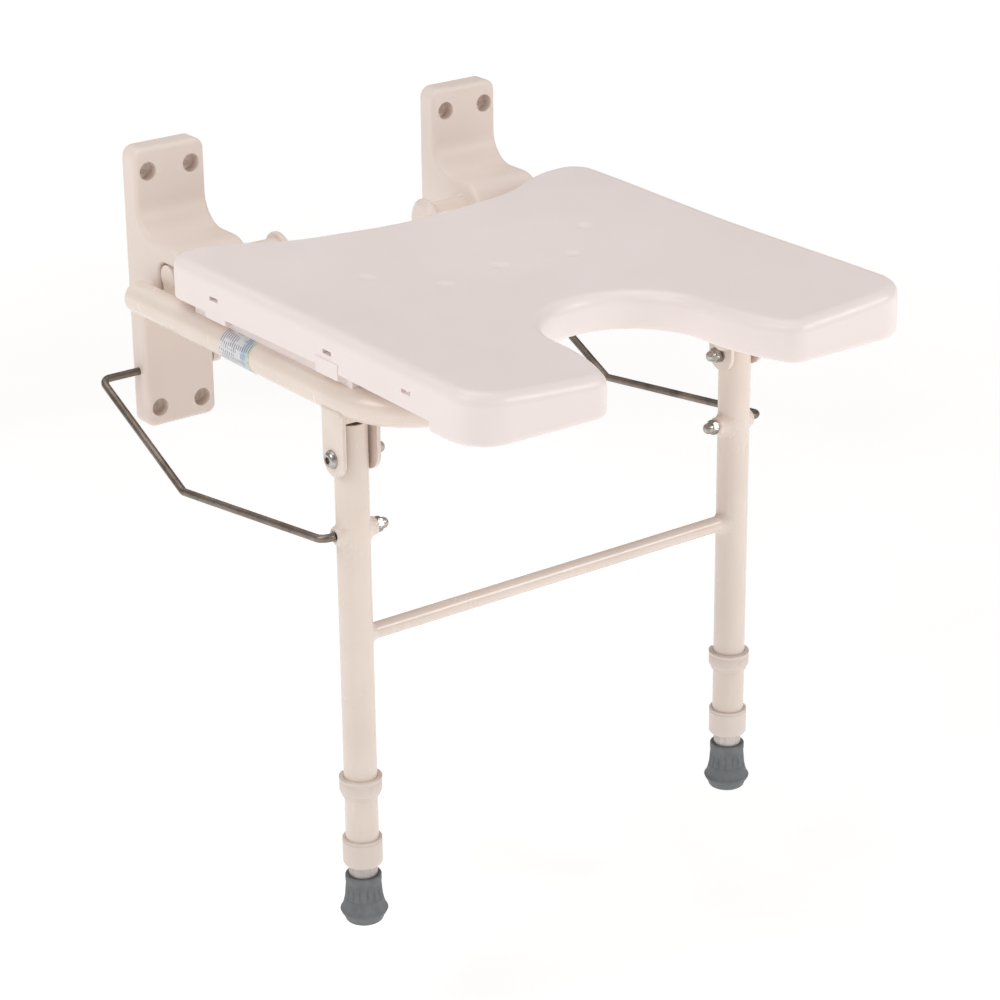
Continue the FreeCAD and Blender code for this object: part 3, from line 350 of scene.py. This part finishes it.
def lathe(name, base, axis, profile, body, slot, steps=96, start=0.0, sweep=2 * math.pi, crease=38):
    """Turn a profile of (radius, height) in mm; a radius may be a function of the angle.

    About Z, angles run from +X to +Y. For a part turn, the profile is a closed outline.
    """
    side = Z if abs(axis.z) < 0.5 else X
    across = axis.cross(side)
    whole = sweep > 2 * math.pi - 1e-6
    count = steps if whole else steps + 1
    rings = []
    for radius, height in profile:
        ring = []
        for step in range(count):
            turn = start + sweep * step / steps
            reach = radius(turn) if callable(radius) else radius
            outward = side * math.cos(turn) + across * math.sin(turn)
            ring.append(base + axis * height * MM + outward * reach * MM)
        rings.append(ring)
    if whole:
        return add_piece(name, rings, body, slot, crease=crease)
    columns = [list(column) for column in zip(*rings)]
    return add_piece(name, columns, body, slot, crease=crease)


def arc(centre_radius, centre_height, radius, start, end, steps=6):
    """Profile points round a small arc, angles in degrees from the outward direction."""
    points = []
    for step in range(steps + 1):
        turn = math.radians(start + (end - start) * step / steps)
        points.append((centre_radius + radius * math.cos(turn), centre_height + radius * math.sin(turn)))
    return points


def saddle_weld(name, crossing, away, host_axis, radius, height, body):
    """Weld fillet of that height where a thinner tube meets the side of a frame tube."""
    across = away.cross(host_axis)
    steps, rows = 72, 7
    rings = []
    for step in range(steps):
        turn = 2 * math.pi * step / steps
        ripple = 1 + 0.07 * math.sin(17 * turn) + 0.05 * math.sin(5 * turn + 1)
        size = height * ripple
        section = [(-0.4, size), (-0.4, -0.4), (size, -0.4)]
        for row in range(rows + 1):
            bend = math.pi / 2 * row / rows
            section.append((size * (1 - math.sin(bend)), size * (1 - math.cos(bend))))
        ring = []
        for rise, spread in section:
            reach = radius + spread
            sideways = reach * math.sin(turn)
            depth = math.sqrt(max(TUBE_RADIUS ** 2 - sideways ** 2, 0.0))
            along = host_axis * math.cos(turn) * reach
            ring.append(crossing + (along + across * sideways + away * (depth + rise)) * MM)
        rings.append(ring)
    return add_piece(name, rings + [rings[0]], body, "frame_paint", ends=False, crease=60)


def bead_weld(name, start, end, radius, body):
    """Rippled straight weld bead with rounded ends."""
    along = end - start
    direction = along.normalized()
    side = direction.cross(Z).normalized()
    up = side.cross(direction)
    rings = []
    steps, around, rounded = 60, 14, 1 / 12
    turns = [2 * math.pi * index / around for index in range(around)]
    for step in range(steps + 1):
        part = step / steps
        inset = min(part, 1 - part, rounded) / rounded
        taper = math.sqrt(1 - (1 - inset) ** 2)
        size = radius * max(taper, 0.08) * (1 + 0.08 * math.sin(part * 58))
        middle = start + along * part
        rings.append([middle + (side * math.cos(turn) + up * math.sin(turn)) * size for turn in turns])
    return add_piece(name, rings, body, "frame_paint", crease=60)


def bolt_profile(length):
    """Button-head bolt from the shank's tip to its hexagon socket; the head starts at height 0."""
    shank = [(0.4, -length), (3.6, -length), (4.0, 0.4 - length), (4.0, 0), (6.6, 0)]
    rim = arc(6.5, 0.6, 0.5, -80, 10, 4)
    dome = [(6.4, 1.9), (5.8, 3.0), (4.9, 3.8), (4.0, 4.25), (3.4, BOLT_HEAD)]
    socket = [(hexagon(2.5), 4.2), (hexagon(2.4), 1.5), (0.3, 1.2)]
    return shank + rim + dome + socket


def nut_profile():
    """Domed nut from its bore to the dome's top, its hexagon corners chamfered at both faces."""
    bore = [(4.02, 4.9), (4.02, 0.2)]
    corners = ((5.2, 0), (5.6, 0.3), (6.2, 0.8), (6.2, 4.1), (5.7, 4.7))
    flats = [(chamfered(NUT_APOTHEM, limit), height) for limit, height in corners]
    neck = [(4.9, 5.15), (4.45, 5.3), (4.4, 6.6)]
    dome = [(4.2, 8.2), (3.6, 9.5), (2.6, 10.4), (1.3, 10.9), (0.2, 11)]
    return bore + flats + neck + dome


def add_bolts_and_nuts():
    """Button-head pivot bolts, and domed nuts on the pivot bolts and link studs."""
    for side, sign in SIDES:
        low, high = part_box(f"{side}_leg_pivot_bolt")
        middle = centre(f"{side}_leg_pivot_bolt")
        outer_x = high.x if sign > 0 else low.x
        face = Vector((outer_x, middle.y, middle.z)) - X * sign * BOLT_HEAD * MM
        profile = bolt_profile((high.x - low.x) / MM - BOLT_HEAD)
        piece = lathe(f"{side}_bolt", face, X * sign, profile, "seat_frame", "bright_steel")
        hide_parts(f"{side}_leg_pivot_bolt")
        for kind, body in (("leg_pivot_nut", "seat_frame"), ("link_nut", "leg_frame")):
            low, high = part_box(f"{side}_{kind}")
            middle = centre(f"{side}_{kind}")
            base = Vector((low.x if sign < 0 else high.x, middle.y, middle.z))
            name = f"{side}_{kind}_domed"
            piece = lathe(name, base, -X * sign, nut_profile(), body, "bright_steel", crease=24)
            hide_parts(f"{side}_{kind}")


def fluted(radius, depth):
    """Radius round a ferrule with sixteen flutes of that depth."""
    return lambda turn: radius - depth * max(0.0, math.cos(16 * turn)) ** 1.6


def foot_profile(top):
    """Ferrule from the middle of its sole, up the outside and down its socket."""
    sole = [(0.3, 0.5), (10.0, 0.5), (10.4, 0.0), (12.4, 0.0)] + arc(12.4, 2.4, 2.4, -90, -20, 5)
    flange = [(15.6, 4.4), (16.9, 6.2), (17.8, 7.9)] + arc(17.3, 9.2, 1.0, -60, 70, 6)
    slope = [(17.0, 11.2), (16.4, 13.0), (15.6, 15.6), (15.0, 18.0), (14.9, 18.9)]
    step = [(14.4, 19.4), (14.5, 20.2)]
    flutes = []
    for part in range(9):
        share = part / 8
        depth = 1.05 * math.sin(math.pi * min(1.0, 0.12 + share * 0.94))
        flutes.append((fluted(14.5 - 0.9 * share, depth), 20.6 + 11.5 * share))
    neck = [(13.6, 33.4), (13.9, 34.0), (13.9, top - 1.2)]
    lip = arc(13.1, top - 0.8, 0.8, 0, 90, 4) + arc(11.75, top - 0.7, 0.7, 90, 180, 4)
    socket = [(11.05, top - 6), (11.0, 8.2), (0.3, 8.0)]
    return sole + flange + slope + step + flutes + neck + lip + socket


def add_feet():
    """Ferrules with moulded flutes, step, flange and rounded sole."""
    for side, _ in SIDES:
        low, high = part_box(f"{side}_ferrule")
        middle = centre(f"{side}_ferrule")
        base = Vector((middle.x, middle.y, low.z))
        profile = foot_profile((high.z - low.z) / MM)
        name = f"{side}_moulded_foot"
        piece = lathe(name, base, Z, profile, f"{side}_foot", "grey_rubber", steps=256)
        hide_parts(f"{side}_ferrule")


def collar_profile(tall):
    """Closed outline of a leg-end collar with a rounded foot and a thin rim."""
    foot = [(11.1, 0.5), (11.5, 0.0)] + arc(12.0, 3.2, 3.2, -90, 0, 8)
    groove = [(15.2, tall - 3.0)] + arc(14.9, tall - 2.8, 0.3, 0, 90, 3)
    groove += [(14.75, tall - 2.3), (14.75, tall - 1.9)]
    rim = arc(14.6, tall - 0.9, 0.6, -60, 90, 6)
    bore = [(12.9, tall - 0.3), (12.75, tall - 0.8), (12.75, 3.0), (11.1, 3.0)]
    return foot + groove + rim + bore + foot[:1]


def clip_profile(tall):
    """Section of a spring clip with a foot, a belly and a rolled lip."""
    foot = [(12.8, 0.3), (13.2, 0), (14.3, 0), (14.5, 0.3), (14.5, 2.3)]
    belly = [(15.2, 2.9), (15.9, 3.6), (16.3, 5.0), (16.2, tall - 4.2), (15.9, tall - 3.6)]
    lip = [(15.9, tall - 3.0)] + arc(15.9, tall - 1.3, 0.6, -50, 90, 6)
    return foot + belly + lip + [(13.3, tall - 0.5), (12.8, tall - 0.9)]


def add_collars():
    """Leg-end collars, and open spring clips with a press button at the front."""
    button = [(0.3, 0), (2.9, 0), (3.0, 0.4), (3.0, 1.6), (2.6, 2.1), (1.6, 2.35), (0.2, 2.4)]
    button_seat = 14.3 * MM
    gap_edge = math.pi / 2 + CLIP_GAP / 2
    for side, _ in SIDES:
        low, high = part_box(f"{side}_leg_collar")
        middle = centre(f"{side}_leg_collar")
        base = Vector((middle.x, middle.y, low.z))
        profile = collar_profile((high.z - low.z) / MM)
        piece = lathe(f"{side}_rimmed_collar", base, Z, profile, "leg_frame", "trim_plastic")
        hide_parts(f"{side}_leg_collar")
        low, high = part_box(f"{side}_height_clip")
        base = Vector((middle.x, middle.y, low.z))
        section = clip_profile((high.z - low.z) / MM)
        piece = lathe(f"{side}_spring_clip", base, Z, section, "leg_frame", "trim_plastic", steps=90,
                      start=gap_edge, sweep=2 * math.pi - CLIP_GAP)
        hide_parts(f"{side}_height_clip")
        peg = Vector((middle.x, middle.y - button_seat, (low.z + high.z) / 2))
        lathe(f"{side}_clip_peg", peg, -Y, button, "leg_frame", "trim_plastic", steps=48)


def add_welds():
    """Weld fillets at the cross tube, crossbar, link sleeves and clevises."""
    for side, sign in SIDES:
        leg = centre(f"{side}_leg_tube")
        bar = centre("leg_crossbar")
        sleeve = centre(f"{side}_link_sleeve")
        cross = centre("frame_cross_tube")
        rail_low, rail_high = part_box(f"{side}_seat_rail")
        rail_x = (rail_high.x if sign > 0 else rail_low.x) - sign * TUBE_RADIUS * MM
        rail_z = (rail_low.z + rail_high.z) / 2
        outward, inward = X * sign, -X * sign
        at_bar = Vector((leg.x, leg.y, bar.z))
        at_sleeve = Vector((leg.x, leg.y, sleeve.z))
        at_cross = Vector((rail_x, cross.y, rail_z))
        saddle_weld(f"{side}_crossbar_weld", at_bar, inward, Z, CROSSBAR_RADIUS, CROSSBAR_WELD,
                    "leg_frame")
        saddle_weld(f"{side}_sleeve_outer_weld", at_sleeve, outward, Z, SLEEVE_RADIUS, SLEEVE_OUTER_WELD,
                    "leg_frame")
        saddle_weld(f"{side}_sleeve_inner_weld", at_sleeve, inward, Z, SLEEVE_RADIUS, SLEEVE_INNER_WELD,
                    "leg_frame")
        saddle_weld(f"{side}_cross_tube_weld", at_cross, inward, Y, CROSS_TUBE_RADIUS, CROSS_TUBE_WELD,
                    "seat_frame")
        low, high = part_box(f"{side}_leg_clevis")
        # Each bead's face in metres, and its level and radius in mm
        outer_bead = (high.x if sign > 0 else low.x, -1.7, 2.2)
        inner_bead = (rail_x - sign * 12.2 * MM, 2.1, 2.0)
        for row, (face, level, size) in enumerate((outer_bead, inner_bead)):
            start = Vector((face, low.y + 1 * MM, level * MM))
            end = Vector((face, high.y - 1 * MM, level * MM))
            bead_weld(f"{side}_clevis_weld_{row}", start, end, size * MM, "seat_frame")


# ---------------------------------------------------------------- camera, light and floor
CAMERA_PLACE = (-1.3253, -2.0607, 0.7823)
CAMERA_LENS = 111.95
CAMERA_AZIMUTH, CAMERA_ELEVATION, CAMERA_ROLL = (math.radians(angle) for angle in (-36.29, 22.43, -0.58))
LIT_POINT = (0, -0.25, -0.05)
FLOOR_REACH = 60


def add_camera():
    """The photograph's view: high front left, a long lens and a very slight roll."""
    ahead = Vector((-math.sin(CAMERA_AZIMUTH), math.cos(CAMERA_AZIMUTH), 0))
    level = Vector((math.cos(CAMERA_AZIMUTH), math.sin(CAMERA_AZIMUTH), 0))
    back = Z * math.sin(CAMERA_ELEVATION) - ahead * math.cos(CAMERA_ELEVATION)
    rise = back.cross(level)
    right = level * math.cos(CAMERA_ROLL) + rise * math.sin(CAMERA_ROLL)
    up = rise * math.cos(CAMERA_ROLL) - level * math.sin(CAMERA_ROLL)
    data = bpy.data.cameras.new("camera")
    data.sensor_width = 36
    data.lens = CAMERA_LENS
    data.clip_start = 0.05
    camera = bpy.data.objects.new("camera", data)
    turn = Matrix((right, up, back)).transposed().to_4x4()
    camera.matrix_world = Matrix.Translation(CAMERA_PLACE) @ turn
    bpy.context.scene.collection.objects.link(camera)
    bpy.context.scene.camera = camera


def add_light(name, place, size, power):
    """A soft light of that size and power, aimed at the seat."""
    data = bpy.data.lights.new(name, "AREA")
    data.shape = "RECTANGLE"
    data.size, data.size_y = size
    data.energy = power
    light = bpy.data.objects.new(name, data)
    aim = Vector(LIT_POINT) - Vector(place)
    light.matrix_world = Matrix.Translation(place) @ aim.to_track_quat("-Z", "Y").to_matrix().to_4x4()
    bpy.context.scene.collection.objects.link(light)


def add_studio():
    """A pale warm world and four soft lights."""
    scene = bpy.context.scene
    scene.view_settings.view_transform = "Standard"
    world = bpy.data.worlds.new("studio")
    world.use_nodes = True
    background = world.node_tree.nodes["Background"]
    background.inputs["Color"].default_value = (1.0, 0.975, 0.955, 1)
    background.inputs["Strength"].default_value = 0.34
    scene.world = world
    add_light("key", (1.5, -2.2, 1.2), (0.9, 0.9), 22)
    add_light("side", (-1.9, -0.4, 1.6), (1.2, 1.2), 18)
    add_light("top", (-0.2, 0.1, 2.3), (1.6, 1.6), 15)
    add_light("back", (-0.5, 1.7, 1.5), (1.4, 0.7), 3)


def add_floor():
    """A wide pale floor, below the feet at their longest setting."""
    joints = RECORD["behaviour"]["joints"]
    longest = max(joint["range_m"][1] for joint in joints if joint["type"] == "slide")
    level = cad_box[0][2] - longest
    corners = [(x * FLOOR_REACH, y * FLOOR_REACH, level) for x, y in ((-1, -1), (1, -1), (1, 1), (-1, 1))]
    data = bpy.data.meshes.new("floor")
    data.from_pydata(corners, [], [(0, 1, 2, 3)])
    floor = bpy.data.objects.new("floor", data)
    bpy.context.scene.collection.objects.link(floor)
    surface = Surface("floor_paint", 0.8)
    clouds = surface.ramp(surface.noise(3, 2), 0.3, 0.7)
    surface.colour(surface.mix(clouds, srgb(250, 250, 250), srgb(254, 254, 254)))
    surface.shader.inputs["Emission Color"].default_value = (1, 1, 1, 1)
    # A glow that grows away from the lights keeps the whole floor white
    glow = surface.ramp(surface.distance(), 1.2, 4.0, 0.34, 0.95)
    surface.link(glow, surface.shader.inputs["Emission Strength"])
    data.materials.append(surface.material)


dress_cad_nodes()
add_bolts_and_nuts()
add_feet()
add_collars()
add_welds()
add_camera()
add_studio()
add_floor()
